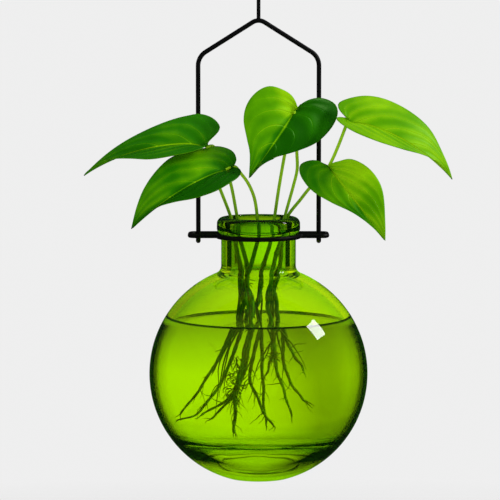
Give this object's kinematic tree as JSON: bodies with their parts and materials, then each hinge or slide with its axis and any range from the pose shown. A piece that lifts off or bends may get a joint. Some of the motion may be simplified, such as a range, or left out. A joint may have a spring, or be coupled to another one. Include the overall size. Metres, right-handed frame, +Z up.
{
  "type": "hanging propagation vase",
  "caption": "Round green glass bottle vase with rooted leafy cuttings, held by its lip in a wire collar that swings in a pointed wire hanger.",
  "frame": {"origin": "inside top of the hanging hook, where it rests on what holds it", "axes": "+Z up along the hanger's stem, +X to the right along the collar's ears, the viewer on the -Y side"},
  "size_m": [0.1786, 0.108, 0.2804],
  "materials": {
    "black_wire": "satin",
    "green_glass": "polished",
    "water": "polished",
    "leaf_green": "satin",
    "stem_green": "satin",
    "root_brown": "matte"
  },
  "bodies": {
    "hanger": {"hanging_hook": "black_wire", "hanger_frame": "black_wire"},
    "collar": {"collar_ring": "black_wire"},
    "vase": {"glass_vase": "green_glass", "water": "water", "leaf_upper_left": "leaf_green", "leaf_lower_left": "leaf_green", "leaf_centre": "leaf_green", "leaf_upper_right": "leaf_green", "leaf_lower_right": "leaf_green", "stem_upper_left": "stem_green", "stem_lower_left": "stem_green", "stem_left_bud": "stem_green", "stem_middle_bud": "stem_green", "stem_centre": "stem_green", "stem_right_vine": "stem_green", "roots_upper_left": "root_brown", "roots_lower_left": "root_brown", "roots_left_bud": "root_brown", "roots_middle_bud": "root_brown", "roots_centre": "root_brown", "roots_right_vine": "root_brown"}
  },
  "joints": [
    {"name": "collar_swing", "type": "hinge", "parent": "hanger", "child": "collar", "pos_m": [0, -0.0024, -0.15855], "axis": [1, 0, 0], "range_deg": [-8, 50]},
    {"name": "vase_turn", "type": "hinge", "parent": "collar", "child": "vase", "pos_m": [0, -0.0024, -0.15855], "axis": [0, 0, 1], "range_deg": [-12, 12]}
  ]
}
